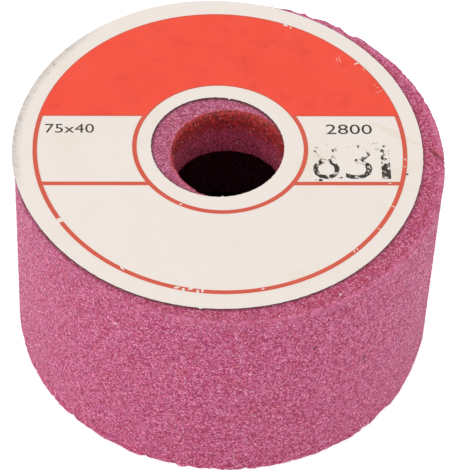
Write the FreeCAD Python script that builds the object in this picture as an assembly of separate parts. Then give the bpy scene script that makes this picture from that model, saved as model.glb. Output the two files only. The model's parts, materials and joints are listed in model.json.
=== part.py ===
"""Straight cup grinding wheel with its paper label.

The wheel is one pressed and fired body of abrasive grain: a flat back wall with a plain
bore, and a ring-shaped rim that does the grinding, with a round-cornered recess between.
A round of stiff paper is glued to the back wall and carries the red print.

Millimetres. The origin is the centre of the bore in the plane of the back face, +Z points
out of that face, and the rim points down.
"""
import FreeCAD, Part
import math
import os

Vector = FreeCAD.Vector
ORIGIN = Vector(0, 0, 0)
UP = Vector(0, 0, 1)

# Abrasive body
wheel_diameter = 75.0
wheel_height = 41.0
bore_diameter = 20.0
back_thickness = 10.0         # wall between the back face and the floor of the recess
rim_width = 10.0              # grinding ring, from the recess to the outside
recess_corner_radius = 4.0    # where the wall of the recess meets its floor
edge_break = 0.4              # outer edges, knocked off when the wheel is trued
bore_edge_break = 0.4

# Old nick across the edge of the back face
nick_bearing = 4.8            # degrees round the axis from +X to the middle of the nick
nick_setback = 1.2            # middle of the nick, in from the outside of the wheel
nick_heading = -44.0          # degrees from +X to the line of the nick
nick_length = 3.6
nick_width = 0.9
nick_depth = 0.3

# Paper label, glued on off centre and a little turned
label_thickness = 0.3
label_setback = 1.75          # wheel radius less the label's radius
label_shift_x = -2.05         # label centre from the axis of the bore
label_shift_y = 1.54
label_turn = 4.0              # degrees about +Z
label_hole_clearance = 1.65   # label hole radius less the bore's radius
label_hole_shift_x = -0.18    # hole centre from the label centre
label_hole_shift_y = 0.51

# Red print on the label
ink_thickness = 0.05
print_shift_x = 0.30          # centre of the print from the label centre
print_shift_y = 0.05
print_margin = 3.06           # label radius less the print's radius
line_width = 0.77             # both rings and the two rules
hub_ring_clearance = 2.95     # inside of the small ring, out from the edge of the label hole
hub_ring_rise = 0.33          # small ring's centre, up from the centre of the print
field_edge_height = 7.6       # lower edge of the red field, up from the centre of the print
rule_drop = 8.17              # middle of the rules, down from the centre of the print

wheel_radius = wheel_diameter / 2
bore_radius = bore_diameter / 2
recess_radius = wheel_radius - rim_width
label_radius = wheel_radius - label_setback
label_hole_radius = bore_radius + label_hole_clearance
print_radius = label_radius - print_margin
hub_ring_radius = label_hole_radius + hub_ring_clearance
label_centre = Vector(label_shift_x, label_shift_y, 0)
label_hole_centre = label_centre + Vector(label_hole_shift_x, label_hole_shift_y, 0)
print_centre = label_centre + Vector(print_shift_x, print_shift_y, 0)


def disc(radius, thickness, centre):
    return Part.makeCylinder(radius, thickness, centre, UP)


def ring(inner_radius, width, thickness, centre):
    return disc(inner_radius + width, thickness, centre).cut(disc(inner_radius, thickness, centre))


def half_section():
    """The wheel's section from the bore outwards, in the XZ plane, walked once round."""
    rim_z = -wheel_height
    floor_z = -back_thickness
    corner_centre = Vector(recess_radius - recess_corner_radius, 0, floor_z - recess_corner_radius)
    diagonal = recess_corner_radius * math.sqrt(0.5)
    corner_on_wall = corner_centre + Vector(recess_corner_radius, 0, 0)
    corner_middle = corner_centre + Vector(diagonal, 0, diagonal)
    corner_on_floor = corner_centre + Vector(0, 0, recess_corner_radius)
    points = [
        corner_on_floor,
        Vector(bore_radius + bore_edge_break, 0, floor_z),
        Vector(bore_radius, 0, floor_z + bore_edge_break),
        Vector(bore_radius, 0, -bore_edge_break),
        Vector(bore_radius + bore_edge_break, 0, 0),
        Vector(wheel_radius - edge_break, 0, 0),
        Vector(wheel_radius, 0, -edge_break),
        Vector(wheel_radius, 0, rim_z + edge_break),
        Vector(wheel_radius - edge_break, 0, rim_z),
        Vector(recess_radius, 0, rim_z),
        corner_on_wall,
    ]
    edges = [Part.makeLine(start, end) for start, end in zip(points, points[1:])]
    edges.append(Part.Arc(corner_on_wall, corner_middle, corner_on_floor).toShape())
    return Part.Face(Part.Wire(edges))


def nick():
    """A shallow round-bottomed groove that runs out over the edge of the back face."""
    radius = (nick_width ** 2 / 4 + nick_depth ** 2) / (2 * nick_depth)
    bearing = math.radians(nick_bearing)
    heading = math.radians(nick_heading)
    reach = wheel_radius - nick_setback
    middle = Vector(reach * math.cos(bearing), reach * math.sin(bearing), radius - nick_depth)
    along = Vector(math.cos(heading), math.sin(heading), 0)
    return Part.makeCylinder(radius, nick_length, middle - along * (nick_length / 2), along)


def abrasive_cup():
    return half_section().revolve(ORIGIN, UP, 360).cut(nick())


def paper_label():
    return disc(label_radius, label_thickness, label_centre).cut(
        disc(label_hole_radius, label_thickness, label_hole_centre))


def label_print_red():
    """Drawn upright about the centre of the print, then turned and laid on the paper."""
    hub_centre = Vector(0, hub_ring_rise, 0)
    hub_hole = disc(hub_ring_radius, ink_thickness, hub_centre)
    hub_disc = disc(hub_ring_radius + line_width, ink_thickness, hub_centre)
    outline = disc(print_radius, ink_thickness, ORIGIN)
    above_edge = Part.makeBox(
        2 * print_radius, print_radius, ink_thickness, Vector(-print_radius, field_edge_height, 0))
    rule_band = Part.makeBox(
        2 * print_radius, line_width, ink_thickness,
        Vector(-print_radius, -rule_drop - line_width / 2, 0))
    shape = ring(print_radius - line_width, line_width, ink_thickness, ORIGIN).multiFuse([
        outline.common(above_edge).cut(hub_hole),
        outline.common(rule_band).cut(hub_hole),
        hub_disc.cut(hub_hole),
    ]).removeSplitter()
    shape.rotate(ORIGIN, UP, label_turn)
    shape.translate(print_centre + Vector(0, 0, label_thickness))
    return shape


pieces = {
    "abrasive_cup": abrasive_cup(),
    "paper_label": paper_label(),
    "label_print_red": label_print_red(),
}
os.makedirs("parts", exist_ok=True)
for name, shape in pieces.items():
    shape.exportStep(f"parts/{name}.step")
    print(f"{name}: {len(shape.Solids)} solid, {shape.Volume:.0f} cubic mm, valid {shape.isValid()}")
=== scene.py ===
# %% [markdown]
# # A cup grinding wheel, dressed for the camera
#
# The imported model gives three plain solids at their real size: the abrasive cup, the paper
# label glued to its back, and the red print on the label. This notebook keeps those sizes and
# gives each surface what the real one has: fused grain with pores and glinting crystals, paper
# with a cut edge, ink that is scuffed and stamped, and a bore that was painted at one end.
# Lengths are in metres, as in the frame, and `MM` turns the sizes of small things into metres.

# %% Load the frame
import json
import math

import bpy
import numpy as np
from mathutils import Matrix, Vector


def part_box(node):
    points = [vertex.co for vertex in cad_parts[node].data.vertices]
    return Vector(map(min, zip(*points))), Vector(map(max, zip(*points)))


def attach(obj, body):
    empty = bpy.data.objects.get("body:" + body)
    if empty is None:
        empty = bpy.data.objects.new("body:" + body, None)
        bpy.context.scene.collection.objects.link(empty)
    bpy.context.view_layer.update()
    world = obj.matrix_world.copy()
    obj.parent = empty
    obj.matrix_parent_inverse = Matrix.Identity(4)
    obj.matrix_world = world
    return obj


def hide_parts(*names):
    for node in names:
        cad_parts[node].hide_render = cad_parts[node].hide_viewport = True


MM = 0.001
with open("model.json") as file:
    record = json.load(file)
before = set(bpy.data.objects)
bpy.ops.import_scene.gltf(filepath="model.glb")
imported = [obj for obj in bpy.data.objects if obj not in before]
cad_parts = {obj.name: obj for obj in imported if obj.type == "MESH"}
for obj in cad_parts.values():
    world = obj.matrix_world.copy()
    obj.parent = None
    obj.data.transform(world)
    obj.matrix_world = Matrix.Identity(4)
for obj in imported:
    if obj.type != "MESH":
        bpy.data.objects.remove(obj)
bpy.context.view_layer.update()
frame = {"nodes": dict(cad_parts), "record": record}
mounts = {mount["name"]: mount for mount in frame["record"]["mounts"]}

# %% Read the wheel's sizes from the frame
wheel_low, wheel_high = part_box("abrasive_cup")
label_low, label_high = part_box("paper_label")
print_low, print_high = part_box("label_print_red")

WHEEL_RADIUS = wheel_high.x
RIM_Z = wheel_low.z
BORE_RADIUS = mounts["bore"]["dims"]["r_mm"] * MM
FLOOR_Z = mounts["inner_seat"]["pos_m"][2]
RECESS_RADIUS = 2 * mounts["rim_face"]["pos_m"][0] - WHEEL_RADIUS
LABEL_CENTRE = (label_low + label_high) / 2
LABEL_RADIUS = (label_high.x - label_low.x) / 2
LABEL_TOP = label_high.z
PRINT_CENTRE = (print_low + print_high) / 2
PRINT_RADIUS = (print_high.x - print_low.x) / 2
LABEL_TURN = math.radians(4.0)
HOLE_SHIFT = Vector((-0.18, 0.51, 0.0)) * MM    # from the label's centre to its hole's
HOLE_CLEARANCE = 1.65 * MM                      # the hole's radius less the bore's
HOLE_CENTRE = LABEL_CENTRE + HOLE_SHIFT
HOLE_RADIUS = BORE_RADIUS + HOLE_CLEARANCE
print(f"wheel {2000 * WHEEL_RADIUS:.1f} x {-1000 * RIM_Z:.1f} mm, bore {2000 * BORE_RADIUS:.1f} mm, "
      f"recess {2000 * RECESS_RADIUS:.1f} mm, label {2000 * LABEL_RADIUS:.1f} mm")

# %% [markdown]
# ## Small tools
#
# Node trees are wired in code, so a few short helpers keep the wiring readable. `add` places a
# node and fills its inputs, by name or in order, and hands back its outputs as wires. A sign
# between two wires, or a wire and a number, adds the Math node that works it out, so a formula
# looks like one. `colour` turns a colour as read off a screen into the linear one that nodes
# expect.


# %% Wires and nodes
def sign(operation, swapped=False):
    """What a sign between two wires, or a wire and a number, does: it adds a Math node."""
    def work(wire, *other):
        return calc(operation, *other, wire) if swapped else calc(operation, wire, *other)
    return work


class Wire:
    """A node's output, which formulas can be written with."""

    def __init__(self, socket):
        self.socket = socket
        self.tree = socket.id_data

    __add__ = sign("ADD")
    __sub__ = sign("SUBTRACT")
    __rsub__ = sign("SUBTRACT", swapped=True)
    __mul__ = sign("MULTIPLY")
    __truediv__ = sign("DIVIDE")
    __rtruediv__ = sign("DIVIDE", swapped=True)
    __gt__ = sign("GREATER_THAN")
    __lt__ = sign("LESS_THAN")
    __abs__ = sign("ABSOLUTE")


class Outputs:
    """The outputs of a node, taken by name or number, each as a wire."""

    def __init__(self, node):
        self.node = node

    def __getitem__(self, key):
        return Wire(self.node.outputs[key])


def add(tree, kind, inputs=(), **settings):
    """Add a node, choose its settings, and feed its inputs: a dict by name, or a list in order."""
    node = tree.nodes.new(kind)
    for name, value in settings.items():
        setattr(node, name, value)
    for key, value in inputs.items() if isinstance(inputs, dict) else enumerate(inputs):
        if isinstance(value, Wire):
            tree.links.new(value.socket, node.inputs[key])
        else:
            node.inputs[key].default_value = value
    return Outputs(node)


def is_vector(value):
    return value.socket.type == "VECTOR" if isinstance(value, Wire) else isinstance(value, tuple)


def calc(operation, *values, clamp=False):
    """One Math node, or one Vector Math node where a value is a vector."""
    tree = next(value.tree for value in values if isinstance(value, Wire))
    if any(is_vector(value) for value in values):
        measures = operation in ("LENGTH", "DISTANCE", "DOT_PRODUCT")
        return add(tree, "ShaderNodeVectorMath", values, operation=operation)[int(measures)]
    return add(tree, "ShaderNodeMath", values, operation=operation, use_clamp=clamp)[0]


# %% Nodes that many formulas need
def scaled(vector, factor):
    return add(factor.tree, "ShaderNodeVectorMath", {0: vector, "Scale": factor}, operation="SCALE")[0]


def xyz(vector):
    return add(vector.tree, "ShaderNodeSeparateXYZ", [vector])


def combined(*parts):
    return add(parts[0].tree, "ShaderNodeCombineXYZ", parts)[0]


def flat_distance(place, centre=(0.0, 0.0, 0.0)):
    """How far a point lies from an upright line through the centre."""
    return calc("LENGTH", (place - centre) * (1.0, 1.0, 0.0))


def ease(value, start, end, low=0.0, high=1.0):
    """A smooth step: low where value is at start, high where it is at end."""
    limits = {"From Min": start, "From Max": end, "To Min": low, "To Max": high}
    return add(value.tree, "ShaderNodeMapRange", {"Value": value, **limits},
               interpolation_type="SMOOTHSTEP")[0]


def noise(place, scale, detail=2.0, roughness=0.5, distortion=0.0):
    return add(place.tree, "ShaderNodeTexNoise",
               {"Vector": place, "Scale": scale, "Detail": detail, "Roughness": roughness,
                "Distortion": distortion})["Fac"]


def colour(red, green, blue):
    """Screen values from 0 to 255, as a linear colour with alpha."""
    def linear(value):
        share = value / 255
        return share / 12.92 if share <= 0.04045 else ((share + 0.055) / 1.055) ** 2.4
    return (linear(red), linear(green), linear(blue), 1.0)


def blend(factor, under, over):
    """Mix two colours: under where factor is 0, over where it is 1."""
    return add(factor.tree, "ShaderNodeMix", {0: factor, 6: under, 7: over}, data_type="RGBA")[2]


def coats(base, *layers):
    """Lay colours over one another. A layer is a mask and a colour."""
    for mask, tint in layers:
        base = blend(mask, base, tint)
    return base


def new_tree(name, kind, inputs, outputs):
    """A node group. Its sockets are numbers, unless a type stands behind the name."""
    tree = bpy.data.node_groups.new(name, f"{kind}NodeTree")
    for direction, names in (("INPUT", inputs), ("OUTPUT", outputs)):
        for entry in names.split(", "):
            socket_name, _, socket_type = entry.partition(": ")
            tree.interface.new_socket(name=socket_name, in_out=direction,
                                      socket_type=f"NodeSocket{socket_type or 'Float'}")
    return tree, add(tree, "NodeGroupInput")


# %% Helpers for Geometry Nodes
def random_value(tree, low, high, seed=0):
    """A random number for each point, or a random vector where low is a vector."""
    data_type, first, output = ("FLOAT_VECTOR", 0, 0) if is_vector(low) else ("FLOAT", 2, 1)
    return add(tree, "FunctionNodeRandomValue", {first: low, first + 1: high, "Seed": seed},
               data_type=data_type)[output]


def mesh_of(thing):
    """The mesh of an object that is a group's input."""
    return add(thing.tree, "GeometryNodeObjectInfo", {"Object": thing})["Geometry"]


def shifted(geometry, offset):
    return add(geometry.tree, "GeometryNodeSetPosition", {"Geometry": geometry, "Offset": offset})[0]


def stored(geometry, name, value):
    """Keep a value with every point, for the material to read."""
    return add(geometry.tree, "GeometryNodeStoreNamedAttribute",
               {"Geometry": geometry, "Name": name, "Value": value}, data_type="FLOAT", domain="POINT")[0]


def finish_geometry(geometry, material):
    """Make instances real, give the material, and end the tree there."""
    tree = geometry.tree
    real = add(tree, "GeometryNodeRealizeInstances", [geometry])[0]
    made = add(tree, "GeometryNodeSetMaterial", {"Geometry": real, "Material": material})[0]
    add(tree, "NodeGroupOutput", [made])
    return tree


# %% Helpers for objects
def link_object(name, data):
    thing = bpy.data.objects.new(name, data)
    bpy.context.scene.collection.objects.link(thing)
    return thing


def mesh_from(name, points, faces, edges=()):
    mesh = bpy.data.meshes.new(name)
    mesh.from_pydata([tuple(point) for point in points], list(edges), [tuple(face) for face in faces])
    mesh.update()
    return mesh


def read_points(thing):
    points = np.zeros(len(thing.data.vertices) * 3)
    thing.data.vertices.foreach_get("co", points)
    return points.reshape(-1, 3)


def write_points(thing, points):
    thing.data.vertices.foreach_set("co", points.ravel())
    thing.data.update()


def grow(name, tree, values):
    """Run a Geometry Nodes tree on an empty mesh and keep the result as a plain mesh."""
    thing = link_object(name, bpy.data.meshes.new(name))
    modifier = thing.modifiers.new(tree.name, "NODES")
    modifier.node_group = tree
    for item in tree.interface.items_tree:
        if item.in_out == "INPUT" and item.name in values:
            modifier[item.identifier] = values[item.name]
    depsgraph = bpy.context.evaluated_depsgraph_get()
    result = bpy.data.meshes.new_from_object(
        thing.evaluated_get(depsgraph), preserve_all_data_layers=True, depsgraph=depsgraph)
    thing.modifiers.remove(modifier)
    thing.data = result
    result.name = name
    triangles = sum(len(polygon.vertices) - 2 for polygon in result.polygons)
    print(f"{name}: {len(result.vertices)} points, {triangles} triangles")
    return thing


def dress(thing, replaces=()):
    """Put a finished piece on the wheel's body, and hide the imported parts it replaces."""
    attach(thing, "root")
    if replaces:
        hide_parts(*replaces)


# %% [markdown]
# ## Grain, the effect that the wheel is made of
#
# A vitrified wheel is crushed crystals glued by glass. Up close every crystal has its own shade,
# some glint, and between them are pores. A Voronoi texture is a good model of that,
# because its cells are as uneven as crushed grain. The body and the loose crystals on it both
# need this look, so it is a shader node group: it gives a tone for each crystal, a mask of
# glints, a mask of pores and a height for bump, and each material decides what to do with them.
# The glints are painted highlights: the abrasive gives them a pale colour and a smoother finish.


# %% Shader group: grain
def grain_group():
    tree, given = new_tree("grain", "Shader", "Place in mm: Vector, Grain size, Glint share, Pore share",
                           "Tone, Glint, Pore, Height")
    place_mm = given["Place in mm"]
    scale = 1.0 / given["Grain size"]
    cells = add(tree, "ShaderNodeTexVoronoi", {"Vector": place_mm, "Scale": scale})
    distance = cells["Distance"]
    dice = add(tree, "ShaderNodeSeparateColor", [cells["Color"]])
    # Each crystal's own shade, broken up a little inside the crystal.
    fine = noise(place_mm, scale * 2.3, 2.0, 0.6)
    tone = dice[0] * 0.9 + ((fine - 0.5) * 1.6 + 0.05)
    # Glints: crystals that the abrasive paints pale, as painted highlights, and makes smoother.
    glint = (dice[1] > 1.0 - given["Glint share"]) * ease(distance, 0.45, 0.2)
    pore = (dice[1] < given["Pore share"]) * ease(distance, 0.6, 0.3)
    height = (1.0 - distance) * 0.6 + dice[0] * 0.5 - pore * 0.8
    add(tree, "NodeGroupOutput", {"Tone": tone, "Glint": glint, "Pore": pore, "Height": height})
    return tree


GRAIN = grain_group()

# %% [markdown]
# ## Spot, a patch with a ragged edge
#
# Wear and dirt sit in known places: a scuff through the red field, a break in a ring, a stain at
# a nick. Each is an oval patch with a torn outline. One group makes such a mask from a centre, a
# half length, a half width and a turn, and noise eats into its edge. It is used in the print, the
# paper and the abrasive, each time with its own numbers.


# %% Shader group: spot
def spot_group():
    tree, given = new_tree(
        "spot", "Shader", "Place in mm: Vector, Centre: Vector, Turn, Half length, Half width, Raggedness, "
        "Noise scale", "Mask")
    place_mm = given["Place in mm"]
    turned = add(tree, "ShaderNodeVectorRotate",
                 {"Vector": place_mm - given["Centre"], "Axis": (0, 0, 1), "Angle": given["Turn"] * -1.0})[0]
    parts = xyz(turned)
    along = parts[0] / given["Half length"]
    across = parts[1] / given["Half width"]
    reach = calc("SQRT", along * along + across * across)
    bite = (noise(place_mm, given["Noise scale"], 3.0) - 0.5) * given["Raggedness"]
    add(tree, "NodeGroupOutput", {"Mask": ease(reach + bite, 1.08, 0.92)})
    return tree


SPOT = spot_group()


# %% Use the shader groups
def spaced(values):
    """The names of inputs as nodes have them, with spaces for underscores."""
    return {name.replace("_", " "): value for name, value in values.items()}


def use(group, place_mm, **values):
    """A shader group at work in a material, with its own values. Returns its outputs."""
    return add(place_mm.tree, "ShaderNodeGroup", {"Place in mm": place_mm, **spaced(values)},
               node_tree=group)


def spots(place_mm, rows, raggedness=1.6, noise_scale=3.0):
    """The largest of several spots. A row is x, y, half length, half width and turn in degrees."""
    mask = None
    for x, y, half_length, half_width, turn in rows:
        found = use(SPOT, place_mm, Centre=(x, y, 0.0), Turn=math.radians(turn), Half_length=half_length,
                    Half_width=half_width, Raggedness=raggedness, Noise_scale=noise_scale)["Mask"]
        mask = found if mask is None else calc("MAXIMUM", mask, found)
    return mask


# %% Helpers for materials
def new_material(name):
    """An empty material. Returns it with a wire that tells the place in millimetres."""
    material = bpy.data.materials.new(name)
    material.use_nodes = True
    tree = material.node_tree
    tree.nodes.clear()
    place_m = add(tree, "ShaderNodeTexCoord")["Object"]
    return material, add(tree, "ShaderNodeMapping", {"Vector": place_m, "Scale": (1000, 1000, 1000)})[0]


def in_mm(place_m):
    return tuple(value / MM for value in place_m)


def label_place(place_mm):
    """Millimetres in the label's own frame: from the centre of the print, turned with it."""
    centre = PRINT_CENTRE / MM
    moved = place_mm - (centre.x, centre.y, LABEL_TOP / MM)
    return add(place_mm.tree, "ShaderNodeVectorRotate",
               {"Vector": moved, "Axis": (0, 0, 1), "Angle": -LABEL_TURN})[0]


def bump(height, strength, distance_mm):
    return add(height.tree, "ShaderNodeBump",
               {"Strength": strength, "Distance": distance_mm * MM, "Height": height})[0]


def surface(material, **values):
    """Finish a material with one Principled shader, its inputs named with underscores."""
    tree = material.node_tree
    shader = add(tree, "ShaderNodeBsdfPrincipled", spaced(values))
    add(tree, "ShaderNodeOutputMaterial", {"Surface": shader[0]})
    return material


# %% [markdown]
# ## The abrasive's colour
#
# Chromium in the alumina makes it pink. Most crystals lie between a dull rose and a bright one,
# a few are nearly white, and pores are wine red. The upper end of the bore was brushed with red
# lacquer that soaked in and thins out lower down, so the material asks how far a point lies from
# the axis. Some light is painted in as colour too: pale and gold glints, shade in the cup and in
# pits, a shadow along the label's edges, and highlights along the outer edge and on the nick's lip.
# All of it reads Object coordinates, so the colour runs through the body like the real one,
# whichever side is looked at.

# %% Colours and zones of the abrasive
ROSE_DARK = colour(142, 0, 46)
ROSE_MIDDLE = colour(199, 53, 116)
ROSE_LIGHT = colour(248, 162, 204)
# Orange patches in the body, and the painted highlight on the nick's upper lip.
ORANGE_PATCH_AND_LIP_HIGHLIGHT = colour(208, 92, 84)
PATCH_VIOLET = colour(176, 84, 156)
PORE_WINE = colour(84, 0, 34)
# Pale crystals, and the colour of painted glints and highlights.
PALE_CRYSTAL_AND_GLINT = colour(255, 224, 236)
# Painted glints on the lacquered wall of the bore.
PAINTED_GOLD_GLINT = colour(248, 190, 156)
# Painted highlight on the rounded outer edge of the labelled face.
EDGE_HIGHLIGHT_PINK = colour(246, 146, 196)
LACQUER_DEEP = colour(66, 0, 0)
LACQUER_RED = colour(210, 32, 15)
SOAKED_DEEP = colour(104, 22, 56)
SOAKED_RED = colour(236, 92, 132)
LIP_SALMON = colour(206, 70, 78)
# Painted shade inside the cup's recess.
CUP_PAINTED_SHADE = colour(70, 28, 32)
DUSTY = colour(140, 96, 98)
FACE_WARM = colour(160, 62, 62)
# Painted shadow on the abrasive along the paper's outer edge and round its hole.
LABEL_EDGE_SHADOW = colour(66, 26, 34)
NICK_STAIN = colour(142, 44, 50)
NICK_CENTRE = (36.2, 3.0)
NICK_LIP = (36.6, 3.75)
NICK_TURN = -44.0
# Pits where a crystal fell out, painted dark as shade, and painted highlights where large crystals mirror a
# lamp: place in mm and radius.
PITS = (((25.1, -27.7, -19.0), 0.5), ((24.8, -28.0, -19.3), 0.4), ((16.1, -33.8, -9.6), 0.5),
        ((16.5, -33.6, -9.5), 0.35), ((21.7, -30.5, -10.9), 0.35), ((27.6, -23.2, 0.0), 0.3),
        ((33.8, -13.6, 0.0), 0.3))
# Painted highlights where large crystals mirror a lamp.
PAINTED_GLINTS = (((-17.7, -33.1, -6.6), 0.38), ((-18.0, -32.9, -7.0), 0.26), ((-17.2, -33.3, -4.6), 0.2),
           ((19.8, -29.5, 0.1), 0.32), ((31.7, -18.9, 0.1), 0.2), ((-27.7, -24.8, 0.1), 0.2),
           ((9.9, -36.2, -0.2), 0.22), ((5.8, -37.0, -30.1), 0.2), ((22.4, -30.1, -1.0), 0.24),
           ((9.7, -34.9, 0.1), 0.22), ((-28.0, -25.0, -8.3), 0.2), ((0.1, -37.5, -23.6), 0.2))
# Painted shade in the pits.
PIT_SHADE = colour(112, 14, 6)
GRAIN_SIZE = 0.24
MOUTH_SHIFT = Vector((0.12, 0.54)) * MM    # the bore's mouth lies off centre, see below
MOUTH_DEPTH = 1.6 * MM
MOUTH_RING = 1.6 * MM


def patches(place_mm, scale, shift, start, end):
    """A mask of soft patches, where slow noise is high."""
    return ease(noise(place_mm + (shift, 0.0, 0.0), scale, 3.0, 0.6), start, end)


def rose(tone, place_mm):
    """The body colour: rose crystals between a dark and a light tone, with orange and violet patches."""
    double = tone * 2.0
    return coats(ROSE_DARK, (calc("MINIMUM", double, 1.0), ROSE_MIDDLE),
                 (calc("SUBTRACT", double, 1.0, clamp=True), ROSE_LIGHT),
                 (patches(place_mm, 0.40, 0.0, 0.54, 0.72) * 0.22, ORANGE_PATCH_AND_LIP_HIGHLIGHT),
                 (patches(place_mm, 0.30, 40.0, 0.54, 0.72) * 0.22, PATCH_VIOLET))


def weather_and_painted_light(base, place_mm):
    """What the labelled face shows: a warm tint, dust in the label's hole, a painted shadow along the
    paper's two edges, a painted highlight along the outer edge, the stain in the nick with a painted
    highlight on its lip, painted shade in pits, and painted glints."""
    height = xyz(place_mm)[2]
    on_face = ease(height, -0.5, -0.2)
    in_hole = HOLE_RADIUS / MM - flat_distance(place_mm, in_mm(HOLE_CENTRE))
    past_label = flat_distance(place_mm, in_mm(LABEL_CENTRE)) - LABEL_RADIUS / MM
    dusty = ease(in_hole, -0.2, 0.2) * on_face
    # Painted highlight: a paler band, in patches, along the outer edge of the face.
    from_band = abs(flat_distance(place_mm) - (WHEEL_RADIUS / MM - 0.5))
    edge_weight = ease(height, -0.9, -0.3) * patches(place_mm, 0.5, 80.0, 0.3, 0.6)
    # Painted shadow: a dark line on the face just beside the paper's outer edge and its hole's edge.
    paper_shadow_line = calc("MAXIMUM", ease(abs(past_label), 0.75, 0.1, 0.0, 0.55), ease(abs(in_hole), 0.65, 0.1))
    near_face = ease(height, -1.4, -0.6)
    stain = spots(place_mm, [(*NICK_CENTRE, 2.0, 0.42, NICK_TURN)], raggedness=2.2)
    # Painted highlight: an orange lip above the nick.
    lip = spots(place_mm, [(*NICK_LIP, 1.3, 0.4, NICK_TURN)], raggedness=2.2)
    # Painted shade in the pits and painted highlights on the large crystals.
    dots = [(ease(calc("DISTANCE", place_mm, centre), radius, radius * 0.5, 0.0, 0.85), tint)
            for rows, tint in ((PITS, PIT_SHADE), (PAINTED_GLINTS, PALE_CRYSTAL_AND_GLINT)) for centre, radius in rows]
    return coats(base, (dusty * 0.3, DUSTY), ((1.0 - dusty) * (on_face * 0.26), FACE_WARM),
                 (ease(from_band, 0.8, 0.2) * edge_weight * 0.3, EDGE_HIGHLIGHT_PINK), (paper_shadow_line * (on_face * 0.6), LABEL_EDGE_SHADOW),
                 (stain * (near_face * 0.65), NICK_STAIN), (lip * (near_face * 0.35), ORANGE_PATCH_AND_LIP_HIGHLIGHT), *dots)


def bore_zones(base, tone, place_mm):
    """Red lacquer on the wall of the bore, soaked in lower down, and a salmon lip at its edge."""
    parts = xyz(place_mm)
    mouth = scaled((*(MOUTH_SHIFT / MM), 0.0), ease(parts[2], -MOUTH_DEPTH / MM, 0.0))
    radius = flat_distance(place_mm, mouth)
    run = noise(place_mm, 0.8, 4.0, 0.6) - 0.5
    bore_mm, floor_mm = BORE_RADIUS / MM, FLOOR_Z / MM
    above_recess = ease(parts[2], floor_mm - 0.8, floor_mm)
    # The nearest part of the mouth was missed by the brush.
    missed = ease(parts[1], -2.5, -5.0) * ease(parts[2], -1.1, -0.6, 0.0, 0.9)
    wall = ease(radius + run * 0.5, bore_mm + 0.6, bore_mm + 0.3)
    wall = calc("SUBTRACT", wall, missed, clamp=True) * above_recess
    blotch = ease(noise(place_mm, 1.6), 0.35, 0.62, 0.65, 1.15)
    coat = blend(tone * blotch, LACQUER_DEEP, LACQUER_RED)
    soaked = blend(tone, SOAKED_DEEP, SOAKED_RED)
    lacquer = blend(ease(parts[2] + run * 7.0, -2.0, -6.0), coat, soaked)
    lip = ease(radius + run * 1.2, bore_mm + 1.0, bore_mm + 0.4) * above_recess
    return coats(base, (lip * 0.5, LIP_SALMON), (wall * 0.9, lacquer)), wall


def recess_shade_mask(place_mm):
    """A mask of the recess, where the abrasive is darkened by painted shade."""
    below = ease(xyz(place_mm)[2], FLOOR_Z / MM + 0.2, FLOOR_Z / MM - 0.3)
    return below * (flat_distance(place_mm) < RECESS_RADIUS / MM + 0.6)


# %% Material: pink abrasive
# Broken grain scatters light at a glancing angle, so the wheel's outline looks powdery.
HAZE = {"Sheen_Weight": 0.16, "Sheen_Roughness": 0.3, "Sheen_Tint": (1.0, 0.9, 0.95, 1.0)}


def abrasive_material():
    material, place_mm = new_material("pink_abrasive")
    grain = use(GRAIN, place_mm, Grain_size=GRAIN_SIZE, Glint_share=0.07, Pore_share=0.10)
    tone, glint = grain["Tone"], grain["Glint"]
    # Pores, and glints painted pale as highlights.
    base = coats(rose(tone, place_mm), (grain["Pore"] * 0.85, PORE_WINE), (glint * 0.8, PALE_CRYSTAL_AND_GLINT))
    base, wall = bore_zones(weather_and_painted_light(base, place_mm), tone, place_mm)
    # Painted gold glints on the lacquered wall, and painted shade in the recess.
    base = coats(base, (glint * (wall * 0.5), PAINTED_GOLD_GLINT), (recess_shade_mask(place_mm) * 0.5, CUP_PAINTED_SHADE))
    return surface(material, Base_Color=base, Roughness=ease(glint, 0.0, 1.0, 0.6, 0.25),
                   Normal=bump(grain["Height"], 0.8, 0.05), **HAZE)


ABRASIVE = abrasive_material()

# %% [markdown]
# ## The wheel's body
#
# The body is turned: one half section swept round the axis. Spinning a drawn outline in mesh code
# would do, but the surface isn't smooth. Every square of it has to be jogged a little, and the
# edges have to crumble, by rules that should stay easy to change. So the outline is drawn once as
# a chain of points, with close points where the camera sees grain and wide ones inside the cup,
# and a Geometry Nodes tree sweeps it, jogs every point and bites chips out of the worn edges. The
# chain carries an edge value, largest at a corner and fading within a millimetre, that says how much
# a point may crumble. Flat shading then turns each small triangle into the facet of a crystal.

# %% Draw the half section as a chain of points
EDGE_ROUND = 0.2 * MM
WALL_RELIEF = 0.12 * MM         # the wall lies this far inside its two edges
BORE_EDGE = 0.4 * MM
CORNER_RADIUS = 4.0 * MM
WEAR_REACH = 1.1 * MM
SEEN_IN_HOLE = 5.2 * MM         # the label's hole shows this much of the face round the bore
LABEL_LAP = 1.2 * MM            # close points start this far inside the label's nearest edge
# Steps between points, the closest where the camera sees grain.
FINE, CLOSE, BORE_STEP, MIDDLE, BACK_STEP, WIDE = np.array((0.3, 0.42, 0.55, 0.9, 1.6, 2.4)) * MM


def walk(start, end, step):
    """Evenly spaced points from start up to, but not at, end."""
    start, end = np.array(start), np.array(end)
    count = max(1, round(float(np.linalg.norm(end - start)) / step))
    return [tuple(start + (end - start) * k / count) for k in range(count)]


def arc(centre, radius, start, end, count):
    """Points on an arc in the section, angles in degrees from the outward direction."""
    return [(centre[0] + radius * math.cos(math.radians(a)), centre[1] + radius * math.sin(math.radians(a)))
            for a in np.linspace(start, end, count)]


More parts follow.
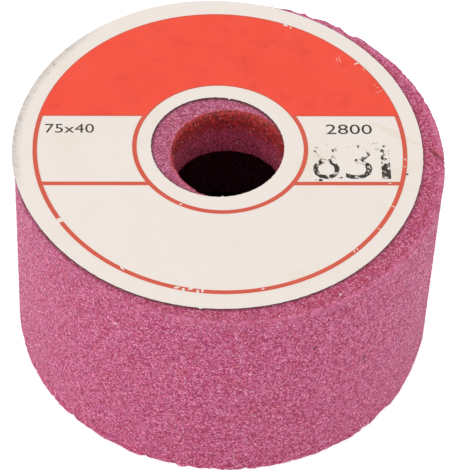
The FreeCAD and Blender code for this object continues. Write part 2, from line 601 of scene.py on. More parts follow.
def half_section():
    """Radius and height of every point, walked from the bore outwards and back inside the cup."""
    seen = LABEL_RADIUS - Vector(LABEL_CENTRE[:2]).length - LABEL_LAP
    rim = WHEEL_RADIUS - EDGE_ROUND
    floor_end = RECESS_RADIUS - CORNER_RADIUS
    mouth = BORE_RADIUS + BORE_EDGE
    hidden = BORE_RADIUS + SEEN_IN_HOLE
    chain = walk((BORE_RADIUS, -BORE_EDGE), (mouth, 0.0), FINE)
    chain += walk((mouth, 0.0), (hidden, 0.0), CLOSE)
    chain += walk((hidden, 0.0), (seen, 0.0), WIDE)
    chain += walk((seen, 0.0), (rim, 0.0), CLOSE)
    chain += arc((rim, -EDGE_ROUND), EDGE_ROUND, 90, 0, 4)
    chain += walk((WHEEL_RADIUS, -EDGE_ROUND), (WHEEL_RADIUS, RIM_Z + EDGE_ROUND), CLOSE)[1:]
    chain += arc((rim, RIM_Z + EDGE_ROUND), EDGE_ROUND, 0, -90, 4)
    chain += walk((rim, RIM_Z), (RECESS_RADIUS, RIM_Z), MIDDLE)[1:]
    chain += walk((RECESS_RADIUS, RIM_Z), (RECESS_RADIUS, FLOOR_Z - CORNER_RADIUS), WIDE)
    chain += arc((floor_end, FLOOR_Z - CORNER_RADIUS), CORNER_RADIUS, 0, 90, 6)
    chain += walk((floor_end, FLOOR_Z), (mouth, FLOOR_Z), BACK_STEP)[1:]
    chain += walk((mouth, FLOOR_Z), (BORE_RADIUS, FLOOR_Z + BORE_EDGE), FINE)
    chain += walk((BORE_RADIUS, FLOOR_Z + BORE_EDGE), (BORE_RADIUS, -BORE_EDGE), BORE_STEP)
    chain = np.array(chain)
    on_wall = chain[:, 0] > WHEEL_RADIUS - 0.01 * MM
    from_edge = np.minimum(-chain[:, 1], chain[:, 1] - RIM_Z)
    chain[:, 0] -= on_wall * np.clip(from_edge / (1.5 * MM), 0, 1) * WALL_RELIEF
    return chain


section = half_section()
corners = np.array([(WHEEL_RADIUS, 0.0), (WHEEL_RADIUS, RIM_Z), (RECESS_RADIUS, RIM_Z), (BORE_RADIUS, 0.0),
                    (BORE_RADIUS, FLOOR_Z)])
wear = np.array([0.4, 1.3, 1.3, 0.8, 1.0])    # the foot, which does the work, crumbled most
to_corner = np.linalg.norm(section[:, None, :] - corners[None, :, :], axis=2)
edge_wear = (np.clip(1 - to_corner / WEAR_REACH, 0, 1) * wear).max(axis=1)
count = len(section)
outline = mesh_from("wheel_outline", [(r - WHEEL_RADIUS, -z, 0) for r, z in section], [],
                    [(k, (k + 1) % count) for k in range(count)])
outline.attributes.new("edge_wear", "FLOAT", "POINT").data.foreach_set("value", edge_wear.astype(np.float32))
wheel_outline = link_object("wheel_outline", outline)
print(f"the half section has {count} points")


# %% Geometry Nodes: sweep the section and roughen it
def turned_grain_tree():
    tree, given = new_tree(
        "turned grain", "Geometry", "Outline: Object, Sweep radius, Columns: Int, Jog, Grain height, "
        "Chip depth, Chip size, Seed: Int, Material: Material", "Geometry: Geometry")
    chain = add(tree, "GeometryNodeMeshToCurve", [mesh_of(given["Outline"])])[0]
    path = add(tree, "GeometryNodeCurvePrimitiveCircle",
               {"Resolution": given["Columns"], "Radius": given["Sweep radius"]})[0]
    swept = add(tree, "GeometryNodeCurveToMesh", {"Curve": path, "Profile Curve": chain})[0]
    position = add(tree, "GeometryNodeInputPosition")[0]
    normal = add(tree, "GeometryNodeInputNormal")[0]
    # A random jog breaks the rows and columns up into crushed grain. It stays in the surface: its
    # part along the normal is taken out, and a height is put in.
    jog, back = given["Jog"], given["Jog"] * -1.0
    scatter = random_value(tree, combined(back, back, back), combined(jog, jog, jog), given["Seed"])
    flat_jog = scatter - scaled(normal, calc("DOT_PRODUCT", scatter, normal))
    grain = random_value(tree, -1.0, 1.0, given["Seed"] + 7) * given["Grain height"]
    # Where slow noise is high, the worn edges lose chips.
    chips = ease(noise(position, 1.0 / given["Chip size"], 2.0, 0.6), 0.5, 0.72)
    edge_weight = add(tree, "GeometryNodeInputNamedAttribute", {"Name": "edge_wear"}, data_type="FLOAT")[0]
    rise = grain - chips * edge_weight * given["Chip depth"]
    rough = shifted(swept, flat_jog + scaled(normal, rise))
    split = add(tree, "GeometryNodeTriangulate", [rough])[0]
    flat = add(tree, "GeometryNodeSetShadeSmooth", {"Geometry": split, "Shade Smooth": False})[0]
    return finish_geometry(flat, given["Material"])


COLUMNS = 510
wheel = grow("wheel_body", turned_grain_tree(),
             {"Outline": wheel_outline, "Sweep radius": WHEEL_RADIUS, "Columns": COLUMNS, "Jog": 0.13 * MM,
              "Grain height": 0.045 * MM, "Chip depth": 0.3 * MM, "Chip size": 1.6 * MM, "Seed": 3,
              "Material": ABRASIVE})
bpy.data.objects.remove(wheel_outline)

# %% [markdown]
# ## The nick on the rim
#
# The wheel was knocked once: a shallow groove runs across the bare edge of the back face and out
# over the rim. Only a few dozen points are touched, so plain arithmetic on the finished mesh is
# the shortest way. Each point near the groove's line sinks by a rounded amount.

# %% Press the nick into the body
NICK_LENGTH, NICK_WIDTH, NICK_DEPTH = 3.8 * MM, 1.0 * MM, 0.36 * MM


def press_nick(thing):
    points = read_points(thing)
    turn = math.radians(NICK_TURN)
    offset = points[:, :2] - np.array(NICK_CENTRE) * MM
    along = offset @ np.array([math.cos(turn), math.sin(turn)])
    across = offset @ np.array([-math.sin(turn), math.cos(turn)])
    profile = np.clip(1 - (2 * across / NICK_WIDTH) ** 2, 0, 1) * (np.abs(along) < NICK_LENGTH / 2)
    sunk = profile * NICK_DEPTH * (points[:, 2] > -1.0 * MM)
    points[:, 2] -= sunk
    write_points(thing, points)
    print(f"the nick moved {int((sunk > 0).sum())} points")


press_nick(wheel)

# %% [markdown]
# ## Lumpy edges
#
# The two outer edges were never trued. At the far right the upper one stands out of its circle in
# lumps two or three millimetres long, with one bite between them, and the foot is as uneven along
# the front. A short table of bearings says how far each edge stands out, and the points within a
# millimetre of it move by that much.

# %% Move the edges in and out
# Bearing in degrees, and how far the edge stands out of its circle in mm.
FOOT_EDGE = ((-180, 0.0), (-170, -0.08), (-160, 0.0), (-154, 0.14), (-146, 0.18), (-141, 0.32), (-138, 0.36),
             (-134, 0.26), (-130, 0.12), (-124, 0.08), (-122, 0.28), (-119, 0.04), (-116, 0.0), (-114, 0.26),
             (-110, 0.3), (-108, 0.03), (-104, 0.0), (-98, 0.32), (-96.8, -0.15), (-95, 0.06), (-92, 0.2),
             (-84, 0.1), (-63, 0.0), (-61, 0.15), (-56, 0.0), (-52, 0.14), (-50, 0.3), (-48, 0.14),
             (-44, 0.34), (-40, 0.22), (-38, -0.17), (-36, -0.15), (-34, 0.25), (-32, 0.1), (-29, 0.13),
             (-27, -0.08), (-20, -0.15), (-18, -0.22), (-12, -0.2), (-9, 0.0))
TOP_EDGE = ((6, 0.0), (9, -0.05), (12, 0.02), (19, 0.0), (22, 0.1), (26, 0.08), (30, 0.05), (32, 0.12),
            (35, 0.0), (38, 0.1), (41, 0.15), (45, 0.02), (48, 0.05), (51, 0.06), (52.8, 0.32), (54.5, 0.15),
            (56, -0.27), (58, -0.22), (59.4, 0.1), (60.4, 0.3), (61.6, 0.02), (65, 0.36), (68, 0.05),
            (70, 0.0), (71.2, 0.4), (73, 0.15), (75.5, 0.34), (79, 0.1), (84, 0.2), (90, 0.1), (100, 0.0))
EDGE_REACH = 1.1 * MM


def push_edge(thing, edge_z, table, lift):
    """Move the points near one outer edge outwards, and up by the share lift of that."""
    points = read_points(thing)
    bearings, lumps = zip(*table)
    lump = np.interp(np.degrees(np.arctan2(points[:, 1], points[:, 0])), bearings, lumps) * MM
    radius = np.linalg.norm(points[:, :2], axis=1)
    near_edge = np.clip(1 - np.hypot(radius - WHEEL_RADIUS, points[:, 2] - edge_z) / EDGE_REACH, 0, 1)
    points[:, :2] *= (1 + near_edge * lump / radius)[:, None]
    points[:, 2] += lift * near_edge * lump
    write_points(thing, points)
    print(f"lumps moved {int((near_edge * np.abs(lump) > 0).sum())} points")


push_edge(wheel, 0.0, TOP_EDGE, 0.4)
push_edge(wheel, RIM_Z, FOOT_EDGE, 0.0)

# %% [markdown]
# ## The bore's mouth
#
# In the photograph the mouth of the bore lies about half a millimetre off the axis, towards the
# far side, while the wall lower down is true. So the top few rows of the wall slide that way,
# less and less with depth, which is again plain arithmetic on the finished mesh.


# %% Slide the bore's mouth off centre
def slide_mouth(thing):
    points = read_points(thing)
    from_axis = np.linalg.norm(points[:, :2], axis=1)
    near_mouth = np.clip((BORE_RADIUS + MOUTH_RING - from_axis) / MM, 0, 1)
    near_mouth *= np.clip(1 + points[:, 2] / MOUTH_DEPTH, 0, 1)
    points[:, :2] += near_mouth[:, None] * np.array(MOUTH_SHIFT)
    write_points(thing, points)
    print(f"the mouth moved {int((near_mouth > 0).sum())} points")


slide_mouth(wheel)
dress(wheel, ["abrasive_cup"])

# %% [markdown]
# ## Loose crystals
#
# On the real wheel whole crystals stand out of the bond and catch the light. Each is a tiny
# many-sided stone, and there are thousands, so they are instances: points are spread over the
# body with a least distance between them, and one of three small stones is put on each, turned
# and sized at random. Their own random value is stored with them, so that the material can give
# every stone its own shade. The stones end as real mesh, because an export drops instances.


# %% Model three stones
def stone(name, seed):
    """A rough crystal with eight facets: two pyramids base to base, every tip pushed about."""
    dice = np.random.default_rng(seed)
    tips = np.array([(1, 0, 0), (-1, 0, 0), (0, 1, 0), (0, -1, 0), (0, 0, 1), (0, 0, -1)], float)
    pushed = tips * dice.uniform(0.7, 1.15, (6, 1)) + dice.uniform(-0.25, 0.25, (6, 3))
    faces = [(0, 2, 4), (2, 1, 4), (1, 3, 4), (3, 0, 4), (2, 0, 5), (1, 2, 5), (3, 1, 5), (0, 3, 5)]
    return link_object(name, mesh_from(name, pushed, faces))


stones = [stone(f"stone_{number}", 40 + number) for number in range(3)]
print(f"{len(stones)} stones")


# %% Material: loose crystals
def crystal_material():
    material, place_mm = new_material("loose_crystal")
    own = add(place_mm.tree, "ShaderNodeAttribute", attribute_name="stone_tone")["Fac"]
    grain = use(GRAIN, place_mm, Grain_size=GRAIN_SIZE, Glint_share=0.0, Pore_share=0.0)
    # The darkest stones are pores, the palest are painted glints.
    base = coats(rose(own * 0.8 + grain["Tone"] * 0.2, place_mm),
                 (ease(own, 0.07, 0.03, 0.0, 0.85), PORE_WINE),
                 (ease(own, 0.92, 0.97, 0.0, 0.8), PALE_CRYSTAL_AND_GLINT))
    base, wall = bore_zones(weather_and_painted_light(base, place_mm), own, place_mm)
    # Painted gold glints on the lacquered wall.
    base = blend(ease(own, 0.955, 0.975) * wall, base, PAINTED_GOLD_GLINT)
    return surface(material, Base_Color=base, Roughness=ease(own, 0.9, 0.97, 0.5, 0.2), **HAZE)


CRYSTAL = crystal_material()


# %% Geometry Nodes: spread the stones over a surface
def loose_crystal_tree():
    tree, given = new_tree(
        "loose crystals", "Geometry", "Surface: Object, Stone: Object, Spacing, Density, Smallest, Largest, "
        "Sink, Label centre: Vector, Label radius, Cup radius, Cup floor, Foot, Seed: Int, "
        "Material: Material", "Geometry: Geometry")
    position = add(tree, "GeometryNodeInputPosition")[0]
    height = xyz(position)[2]
    # Nothing is spread under the label, inside the cup or on the flat face that it stands on.
    outside = flat_distance(position, given["Label centre"]) > given["Label radius"]
    out_of_label = calc("MAXIMUM", outside, height < -0.5 * MM)
    out_of_cup = calc("MAXIMUM", flat_distance(position) > given["Cup radius"], height > given["Cup floor"])
    wanted = out_of_label * out_of_cup * (height > given["Foot"])
    spread = add(tree, "GeometryNodeDistributePointsOnFaces",
                 {"Mesh": mesh_of(given["Surface"]), "Selection": wanted, "Distance Min": given["Spacing"],
                  "Density Max": given["Density"], "Seed": given["Seed"]}, distribute_method="POISSON")
    toned = stored(spread["Points"], "stone_tone", random_value(tree, 0.0, 1.0, given["Seed"] + 1))
    bedded = shifted(toned, scaled(spread["Normal"], given["Sink"] * -1.0))
    spin = random_value(tree, (0, 0, 0), (math.tau, math.tau, math.tau), given["Seed"] + 2)
    size = random_value(tree, given["Smallest"], given["Largest"], given["Seed"] + 3)
    placed = add(tree, "GeometryNodeInstanceOnPoints",
                 {"Points": bedded, "Instance": mesh_of(given["Stone"]), "Rotation": spin, "Scale": size})[0]
    return finish_geometry(placed, given["Material"])


crystals_tree = loose_crystal_tree()
for number, rock in enumerate(stones):
    bed = grow(f"crystals_{number}", crystals_tree,
               {"Surface": wheel, "Stone": rock, "Spacing": 0.235 * MM, "Density": 2.0e6,
                "Smallest": 0.10 * MM, "Largest": 0.18 * MM, "Sink": 0.05 * MM,
                "Label centre": tuple(LABEL_CENTRE), "Label radius": LABEL_RADIUS - 0.4 * MM,
                "Cup radius": RECESS_RADIUS + 0.3 * MM, "Cup floor": FLOOR_Z + 0.3 * MM,
                "Foot": RIM_Z + 0.2 * MM, "Seed": 11 + number, "Material": CRYSTAL})
    dress(bed)

for rock in stones:
    bpy.data.objects.remove(rock)

# %% [markdown]
# ## The paper label
#
# The label is blotter paper punched from a sheet: flat, matt, with a soft fibrous edge. Two round
# circles that don't share a centre make its outline, so the rings of its mesh slide from one to
# the other. The outer cut wanders off its circle on the far side, both edges get a hand's worth of
# wobble, and tufts of torn fibre stick out, two into the hole and one at the front. Plain mesh code
# does this in a few dozen lines, and would be no shorter as nodes.

# %% Build the paper
PAPER_SEGMENTS = 720
EDGE_SOFTNESS = 0.05 * MM
CUT_INSET = 0.03 * MM
WANDER_SMOOTHING = 20    # segments to each side
# Tufts of torn fibre: bearing and half spread in degrees, reach in mm.
HOLE_TUFTS = ((82.0, 1.6, 0.85), (-83.0, 1.2, 0.35))
OUTER_TUFTS = ((-92.3, 0.6, 0.36),)
# Where the cut wandered off the circle: bearing in degrees, and how far outwards in mm.
CUT_WANDER = ((0, 0.02), (30, 0.14), (55, 0.3), (80, 0.45), (105, 0.6), (130, 0.38), (150, 0.22),
              (168, 0.08), (188, 0.35), (205, 0.05), (225, -0.1), (250, 0.03), (300, 0.04), (330, -0.05))


def wobble(angles, dice, waves, size):
    """A closed random wave: the sum of a few sines, so it meets itself."""
    total = np.zeros(len(angles))
    for wave in waves:
        total += dice.normal() * np.sin(wave * angles + dice.uniform(0, math.tau)) / math.sqrt(len(waves))
    return total * size


def torn(angles, dice, tufts):
    """How far torn fibres stick out at each angle."""
    total = np.zeros(len(angles))
    for bearing, spread, reach in tufts:
        gap = (np.degrees(angles) - bearing + 180) % 360 - 180
        total += np.clip(1 - np.abs(gap) / spread, 0, 1) * reach * MM * dice.uniform(0.2, 1.0, len(angles))
    return total


def paper_mesh():
    dice = np.random.default_rng(5)
    angles = np.linspace(0, math.tau, PAPER_SEGMENTS, endpoint=False)
    bearings, reaches = zip(*CUT_WANDER)
    wander = np.interp(np.degrees(angles), bearings, reaches, period=360) * MM
    steps = range(-WANDER_SMOOTHING, WANDER_SMOOTHING + 1)
    wander = sum(np.roll(wander, step) for step in steps) / len(steps)
    outer = LABEL_RADIUS - CUT_INSET + wander + wobble(angles, dice, range(9, 140, 6), 0.02 * MM)
    inner = HOLE_RADIUS + wobble(angles, dice, range(7, 200, 7), 0.03 * MM)
    inner -= torn(angles, dice, HOLE_TUFTS)
    outer += torn(angles, dice, OUTER_TUFTS)
    direction = np.stack([np.cos(angles), np.sin(angles)], axis=1)
    hole_line = np.array(HOLE_CENTRE[:2]) + direction * inner[:, None]
    rim_line = np.array(LABEL_CENTRE[:2]) + direction * outer[:, None]
    # Rows of points from the hole outwards over the top, and back along the bottom.
    soft_share = EDGE_SOFTNESS / float(np.mean(outer - inner))
    middle = [(share, LABEL_TOP) for share in (soft_share, *np.linspace(0.05, 0.95, 7), 1 - soft_share)]
    cut = LABEL_TOP - EDGE_SOFTNESS
    rows = [(0, cut), *middle, (1, cut), (1, 0.0), (0, 0.0)]
    lines = [np.c_[hole_line + (rim_line - hole_line) * share, np.full(PAPER_SEGMENTS, height)]
             for share, height in rows]
    faces = []
    for row in range(len(rows)):
        lower, upper = row * PAPER_SEGMENTS, (row + 1) % len(rows) * PAPER_SEGMENTS
        for k in range(PAPER_SEGMENTS):
            after = (k + 1) % PAPER_SEGMENTS
            faces.append((lower + k, upper + k, upper + after, lower + after))
    return mesh_from("label_paper", np.concatenate(lines), faces)


# %% [markdown]
# ### Paper, soiled where it was handled
#
# Cream paper has almost no colour of its own to work with, so what sells it is small: a breath of
# fibre in the bump, faint yellow clouds and one yellow streak at the right, grey dirt along the
# left edge, a few grey flecks, and a dark brown cut edge, which is soiling and painted shade. The cut
# edge is found by the surface's own normal: where it looks sideways, the paper was cut.

# %% Material: paper
PAPER_CREAM = colour(244, 234, 226)
PAPER_YELLOW = colour(233, 219, 190)
PAPER_GREY = colour(150, 142, 142)
PAPER_EDGE_SOIL_AND_SHADE = colour(68, 31, 28)
STREAK = [(30.8, 3.5, 4.2, 0.7, -34.0)]
DIRTY_SPECKS = [
    (-32.6, 13.4, 0.25, 0.2, 0.0), (-33.5, 12.3, 0.22, 0.18, 30.0), (-33.9, 11.4, 0.4, 0.2, 60.0),
    (-30.2, 18.0, 0.22, 0.2, 0.0), (-29.2, 19.9, 0.35, 0.2, 50.0), (-34.9, 6.8, 0.22, 0.3, 0.0),
    (-35.6, 4.1, 0.25, 0.3, 0.0), (-35.9, 2.6, 0.15, 0.6, 0.0)]


def paper_fibre_group():
    tree, given = new_tree("paper fibre", "Shader", "Place in mm: Vector", "Fibre, Cloud")
    place_mm = given["Place in mm"]
    stretched = add(tree, "ShaderNodeMapping", {"Vector": place_mm, "Scale": (1.0, 3.5, 1.0)})[0]
    add(tree, "NodeGroupOutput", {"Fibre": noise(stretched, 1.6, 5.0, 0.7, 0.6),
                                  "Cloud": noise(place_mm, 0.09, 3.0, 0.55)})
    return tree


PAPER_FIBRE = paper_fibre_group()


def paper_material():
    material, place_mm = new_material("label_paper")
    on_label = label_place(place_mm)
    fibre = use(PAPER_FIBRE, on_label)
    clouds = ease(fibre["Cloud"], 0.5, 0.75) * 0.3
    streak = spots(on_label, STREAK, noise_scale=0.8) * 0.35
    # Dirt gathers in the last two millimetres of the left edge, from the upper left downwards.
    to_edge = LABEL_RADIUS / MM - flat_distance(place_mm, in_mm(LABEL_CENTRE))
    parts = xyz(on_label)
    left = ease(parts[0] - parts[1] * 0.35, -30.0, -35.5)
    specks = noise(on_label, 0.9, 4.0, 0.7)
    dirt = ease(to_edge, 1.7, 0.0) * left * ease(specks, 0.40, 0.7, 0.25, 0.6)
    dirt = calc("MAXIMUM", dirt, spots(on_label, DIRTY_SPECKS) * 0.5)
    dirt = calc("MAXIMUM", dirt, ease(specks, 0.69, 0.78, 0.0, 0.3))
    facing = xyz(add(place_mm.tree, "ShaderNodeNewGeometry")["True Normal"])[2]
    # The cut edge, where the surface looks sideways, is painted dark brown: soiling and painted shade.
    base = coats(PAPER_CREAM, (clouds, PAPER_YELLOW), (streak, PAPER_YELLOW), (dirt, PAPER_GREY),
                 (ease(abs(facing), 0.75, 0.4) * 0.92, PAPER_EDGE_SOIL_AND_SHADE))
    return surface(material, Base_Color=base, Roughness=0.8, Normal=bump(fibre["Fibre"], 0.25, 0.03))


paper = link_object("label_paper", paper_mesh())
paper.data.materials.append(paper_material())
dress(paper, ["paper_label"])

# %% [markdown]
# ## The red print
#
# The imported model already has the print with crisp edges, so its own mesh stays and only gets a
# better finish. Thin lines took a little less ink than the broad field, whose edge dried darker,
# and the ink is worn through in places: those are spots, in the label's own millimetres, that
# show the paper. Gaps in the rings show it fully, scratches in the field only partly.

# %% Material: red print
FIELD_RED = colour(251, 80, 59)
FIELD_PALE = colour(250, 110, 88)
FIELD_DEEP = colour(226, 66, 48)
LINE_RED = colour(217, 93, 73)
OUTLINE_BROWN = colour(190, 98, 76)
# The field's lower edge, and the small ring's inside and rise, in the label's own millimetres.
FIELD_EDGE = 7.6
HUB_INNER, HUB_RISE = 14.6, 0.33
# Gaps worn through the rings, and light chips and scratches in the field.
GAPS = [
    (-27.74, -16.5, 0.5, 0.8, -59.0), (-17.2, -27.1, 0.16, 0.5, 40.0), (-8.1, -31.3, 0.5, 0.22, 5.0),
    (-7.0, -31.7, 0.3, 0.3, 0.0), (-5.8, -31.6, 0.45, 0.2, 10.0), (-4.6, -32.1, 0.25, 0.35, 0.0),
    (-3.8, -31.9, 0.2, 0.45, 0.0), (6.34, -31.6, 0.3, 0.12, 20.0), (22.1, -23.3, 0.1, 0.5, 10.0),
    (22.6, -22.9, 0.08, 0.4, 40.0), (26.7, -18.5, 0.08, 0.4, 50.0), (29.4, -13.4, 0.09, 0.6, 60.0),
    (-7.1, -12.9, 0.3, 0.14, 25.0), (29.2, -8.15, 0.35, 0.09, -25.0), (32.2, -2.6, 0.12, 0.3, 20.0),
    (32.0, -4.3, 0.2, 0.1, 0.0), (12.6, 29.9, 0.4, 0.22, -25.0), (13.5, 29.3, 0.12, 0.3, 0.0),
    (25.0, 20.4, 0.5, 0.13, 25.0)]
SCRATCHES = [
    (22.0, 21.4, 0.09, 0.9, 12.0), (21.5, 21.4, 0.07, 0.6, 12.0), (26.2, 18.9, 0.08, 0.45, 25.0),
    (27.9, 15.2, 0.07, 0.35, 30.0), (28.4, 14.5, 0.3, 0.08, 10.0), (28.6, 13.5, 0.8, 0.08, 30.0)]


def print_material():
    material, place_mm = new_material("red_print")
    on_label = label_place(place_mm)
    fibre = use(PAPER_FIBRE, on_label)
    height = xyz(on_label)[1]
    in_field = ease(height, FIELD_EDGE - 0.3, FIELD_EDGE)
    pale = ease(fibre["Cloud"], 0.35, 0.7) * 0.12
    deep = patches(on_label, 0.22, 10.0, 0.5, 0.7) * in_field * 0.35
    # The ink dried darker in a thin line along the edge of the field.
    from_hub = flat_distance(on_label, (0.0, HUB_RISE, 0.0)) - HUB_INNER
    from_outline = PRINT_RADIUS / MM - flat_distance(on_label)
    inside = calc("MINIMUM", height - FIELD_EDGE, calc("MINIMUM", from_hub, from_outline))
    base = coats(LINE_RED, (in_field, FIELD_RED), (pale, FIELD_PALE), (deep, FIELD_DEEP),
                 (ease(inside, 0.32, 0.12) * (in_field * 0.6), OUTLINE_BROWN),
                 (spots(on_label, SCRATCHES, 1.0, 4.0) * 0.38, PAPER_CREAM),
                 (spots(on_label, GAPS, 1.0, 5.0) * 0.92, PAPER_CREAM))
    return surface(material, Base_Color=base, Roughness=0.6, Specular_IOR_Level=0.25,
                   Normal=bump(fibre["Fibre"], 0.2, 0.03))


red_print = frame["nodes"]["label_print_red"]
red_print.data.materials.clear()
red_print.data.materials.append(print_material())

# %% [markdown]
# ## Black figures
#
# Two small lines of figures are printed in the panels beside the bore: plain sizes and a plain
# speed. Blender's own typeface is close to the thin sans serif of such labels. Text is made a
# flat mesh before it is laid on the paper, a hundredth of a millimetre above it.

# %% Lay small figures on the label
INK_HEIGHT = 0.012 * MM


def to_wheel(x, y):
    """From millimetres in the label's own frame to metres on the wheel, just above the paper."""
    turned = Matrix.Rotation(LABEL_TURN, 3, "Z") @ Vector((x * MM, y * MM, 0.0))
    return Vector((PRINT_CENTRE.x, PRINT_CENTRE.y, LABEL_TOP + INK_HEIGHT)) + turned


def flat_text(text, left, base_line, width, height, thin=0.0):
    """Text fitted to a box, as points in the label's own millimetres and faces."""
    line = bpy.data.curves.new(text, "FONT")
    line.body = text
    line.offset = thin
    line.resolution_u = 3
    writing = link_object(text, line)
    depsgraph = bpy.context.evaluated_depsgraph_get()
    flat = bpy.data.meshes.new_from_object(writing.evaluated_get(depsgraph), depsgraph=depsgraph)
    bpy.data.objects.remove(writing)
    points = np.array([tuple(vertex.co) for vertex in flat.vertices])[:, :2]
    low, high = points.min(axis=0), points.max(axis=0)
    faces = [tuple(polygon.vertices) for polygon in flat.polygons]
    bpy.data.meshes.remove(flat)
    return (points - low) / (high - low) * (width, height) + (left, base_line), faces


def figures(name, text, left, base_line, width, height):
    """A line of figures, printed on the paper."""
    points, faces = flat_text(text, left, base_line, width, height)
    line = link_object(name, mesh_from(name, [to_wheel(x, y) for x, y in points], faces))
    line.data.materials.append(INK)
    dress(line)


INK_DARK = colour(46, 40, 36)
INK_THIN = colour(70, 62, 58)


def ink_material():
    material, place_mm = new_material("black_ink")
    fibre = use(PAPER_FIBRE, label_place(place_mm))
    base = blend(ease(fibre["Fibre"], 0.35, 0.7), INK_DARK, INK_THIN)
    return surface(material, Base_Color=base, Roughness=0.75)


INK = ink_material()
figures("figures_left", "75x40", -30.6, 3.6, 8.6, 2.1)
figures("figures_right", "2800", 18.7, 3.35, 8.1, 2.3)

# %% [markdown]
# ## The stamped number
#
# Below the speed somebody pressed a rubber stamp on the label. Its ink is a broken film: heavy at
# the foot of the figures, only a few dots at their top, with ragged edges all round. A fine grid
# of ink cells makes such a film. A Geometry Nodes tree keeps the cells that lie on the figures and
# where the load of ink, which is slow noise, fine noise and the pressure of the hand together, is
# high enough. The load stays in the mesh as a value, so that thin ink can be greyer than thick.

# %% Shapes of the stamped figures
STAMP_BOXES = (("8", 16.0, 4.6), ("3", 21.7, 4.6), ("1", 28.0, 1.5))   # figure, left side and width in mm
STAMP_FOOT, STAMP_RISE = -7.1, 8.1
STAMP_SPECKS = ((31.8, -6.2, 0.8), (16.4, -7.7, 1.2), (20.4, -7.0, 0.7), (27.2, -0.4, 1.0),
                (26.5, 0.7, 1.3), (15.8, -0.6, 0.8))


def stamp_shape():
    points, faces = [], []
    for text, left, width in STAMP_BOXES:
        more, around = flat_text(text, left, STAMP_FOOT, width, STAMP_RISE, -0.012)
        faces += [tuple(k + len(points) for k in face) for face in around]
        points += [tuple(point) for point in more]
    for x, y, size in STAMP_SPECKS:
        faces.append(tuple(range(len(points), len(points) + 4)))
        points += [(x, y), (x + size, y + 0.1), (x + size * 0.8, y + size * 0.5), (x - 0.1, y + size * 0.4)]
    corners_m = [(x * MM, y * MM, 0.0) for x, y in points]
    return link_object("stamp_shape", mesh_from("stamp_shape", corners_m, faces))


# %% Geometry Nodes: a broken film of ink
def stamp_tree():
    tree, given = new_tree(
        "stamped ink", "Geometry", "Figures: Object, Middle: Vector, Width, Height, Cell, Spread, "
        "Blotch size, Least load, Material: Material", "Geometry: Geometry")
    width, height, cell = given["Width"], given["Height"], given["Cell"]
    sheet = add(tree, "GeometryNodeMeshGrid", [width, height, width / cell, height / cell])[0]
    laid = shifted(sheet, given["Middle"])
    gap = add(tree, "GeometryNodeProximity", [mesh_of(given["Figures"])], target_element="FACES")["Distance"]
    position = add(tree, "GeometryNodeInputPosition")[0]
    scale = 1.0 / given["Blotch size"]
    pressure = ease(xyz(position)[1], 1.0 * MM, -6.0 * MM, 0.0, 0.24)
    load = noise(position, scale) + noise(position, scale * 5.0) * 0.5 + pressure - given["Least load"]
    bare = calc("MAXIMUM", gap > given["Spread"], load < 0.0)
    film = add(tree, "GeometryNodeDeleteGeometry",
               {"Geometry": stored(laid, "ink_load", load), "Selection": bare}, domain="FACE")[0]
    reach, back = cell * 0.35, cell * -0.35
    ragged = shifted(film, random_value(tree, combined(back, back), combined(reach, reach)))
    return finish_geometry(ragged, given["Material"])


# %% Press the stamp
STAMP_DARK = colour(44, 40, 34)
STAMP_GREY = colour(132, 122, 114)


def stamp_material():
    material, place_mm = new_material("stamp_ink")
    load = add(place_mm.tree, "ShaderNodeAttribute", attribute_name="ink_load")["Fac"]
    return surface(material, Base_Color=blend(ease(load, 0.0, 0.09), STAMP_GREY, STAMP_DARK), Roughness=0.7)


shapes = stamp_shape()
stamp = grow("stamped_number", stamp_tree(),
             {"Figures": shapes, "Middle": (24.3 * MM, -3.0 * MM, 0.0), "Width": 18.0 * MM,
              "Height": 10.0 * MM, "Cell": 0.09 * MM, "Spread": 0.02 * MM, "Blotch size": 0.9 * MM,
              "Least load": 0.88, "Material": stamp_material()})
bpy.data.objects.remove(shapes)
for vertex in stamp.data.vertices:
    vertex.co = to_wheel(vertex.co.x / MM, vertex.co.y / MM)
dress(stamp)

# %% [markdown]
# ## Floor, light and camera
#
# The wheel stands on its rim on a plain white floor under an even white sky, as in a packshot
# booth. The floor is as bright as paper to the eye, and keeps a faint shadow at the wheel's foot;
# under the cup it is painted near black, as painted shade seen through the bore.
# The sky lights everything from all round at a plain level, and a soft lamp on each side gives
# the crystals something to mirror and leaves the front a little darker than the flanks.


# %% Stage
FLOOR_WHITE, FLOOR_SHADE_DISC = colour(224, 224, 224), colour(8, 4, 4)


def floor_material():
    material, place_mm = new_material("white_floor")
    # Under the cup the floor is painted near black: painted shade, seen through the bore.
    outside = flat_distance(place_mm) > (WHEEL_RADIUS + RECESS_RADIUS) / 2 / MM
    rays = add(place_mm.tree, "ShaderNodeLightPath")
    mirrored = calc("MAXIMUM", rays["Is Glossy Ray"], rays["Is Transmission Ray"])
    seen = calc("MAXIMUM", rays["Is Camera Ray"], mirrored)
    # From below the floor is clear, so that the wheel can be looked at from there too.
    underside = add(place_mm.tree, "ShaderNodeNewGeometry")["Backfacing"]
    return surface(material, Base_Color=blend(outside, FLOOR_SHADE_DISC, FLOOR_WHITE), Roughness=0.9,
                   Specular_IOR_Level=0.0, Emission_Color=(1, 1, 1, 1),
                   Emission_Strength=seen * outside * 0.6, Alpha=1.0 - underside)


# The wheel stands on its lowest grains, which reach a little below the plane of its foot.
LOWEST_GRAIN = 0.15 * MM
bpy.ops.mesh.primitive_circle_add(
    vertices=96, radius=1.5, fill_type="NGON", location=(0, 0, RIM_Z - LOWEST_GRAIN))
floor = bpy.context.object
floor.name = "floor"
floor.data.materials.append(floor_material())

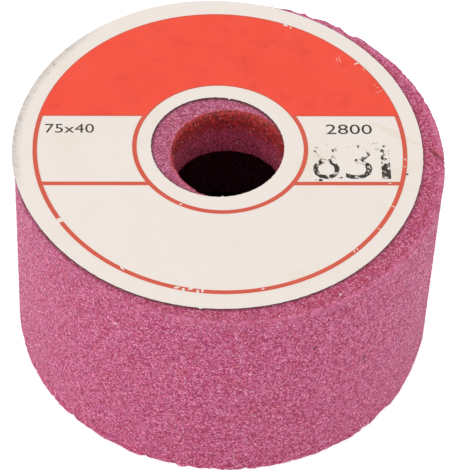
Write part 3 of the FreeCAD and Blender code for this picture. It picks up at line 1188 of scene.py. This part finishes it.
SKY_LEVEL = 0.88    # as light; the camera sees the sky as plain white
world = bpy.data.worlds.new("white_sky")
bpy.context.scene.world = world
world.use_nodes = True
sky = world.node_tree
sky.nodes.clear()
seen_directly = add(sky, "ShaderNodeLightPath")["Is Camera Ray"]
background = add(sky, "ShaderNodeBackground",
                 {"Color": (1, 1, 1, 1), "Strength": ease(seen_directly, 0.0, 1.0, SKY_LEVEL, 1.0)})
add(sky, "ShaderNodeOutputWorld", {"Surface": background[0]})


def soft_lamp(name, place_m, size, watts):
    lamp = bpy.data.lights.new(name, "AREA")
    lamp.shape = "DISK"
    lamp.size = size
    lamp.energy = watts
    holder = link_object(name, lamp)
    holder.location = place_m
    holder.rotation_euler = Vector(place_m).to_track_quat("Z", "Y").to_euler()


soft_lamp("left_side", (-0.9, -0.25, 0.4), 0.5, 1.8)
soft_lamp("right_side", (0.9, -0.15, 0.4), 0.5, 0.25)
bpy.context.scene.view_settings.view_transform = "Standard"

# %% [markdown]
# ## Camera
#
# The rims, the bore and the rings of the label are all circles on one axis, so their ovals in the
# photograph fix the camera: how far it looks down, how it is rolled, how long its lens is and how
# far off it stands. Those values are written here and turned into a position and three directions.

# %% Camera from the fitted view
LOOK_DOWN = math.radians(49.852)
ROLL = math.radians(3.053)
DISTANCE = 481.905 * MM
AIM = Vector((1.621 * MM, -17.744 * MM, 0.0))
IMAGE_WIDTH = 470
FOCAL_PIXELS = 2832.4

camera = bpy.data.cameras.new("camera")
camera.sensor_width = 36.0
camera.lens = FOCAL_PIXELS * camera.sensor_width / IMAGE_WIDTH
camera.clip_start = 0.01
camera_object = link_object("camera", camera)
forward = Vector((0.0, math.cos(LOOK_DOWN), -math.sin(LOOK_DOWN)))
level_right = Vector((1.0, 0.0, 0.0))
level_up = level_right.cross(forward)
right = math.cos(ROLL) * level_right + math.sin(ROLL) * level_up
up = -math.sin(ROLL) * level_right + math.cos(ROLL) * level_up
turn = Matrix((right, up, -forward)).transposed()
camera_object.matrix_world = Matrix.Translation(AIM - DISTANCE * forward) @ turn.to_4x4()
bpy.context.scene.camera = camera_object
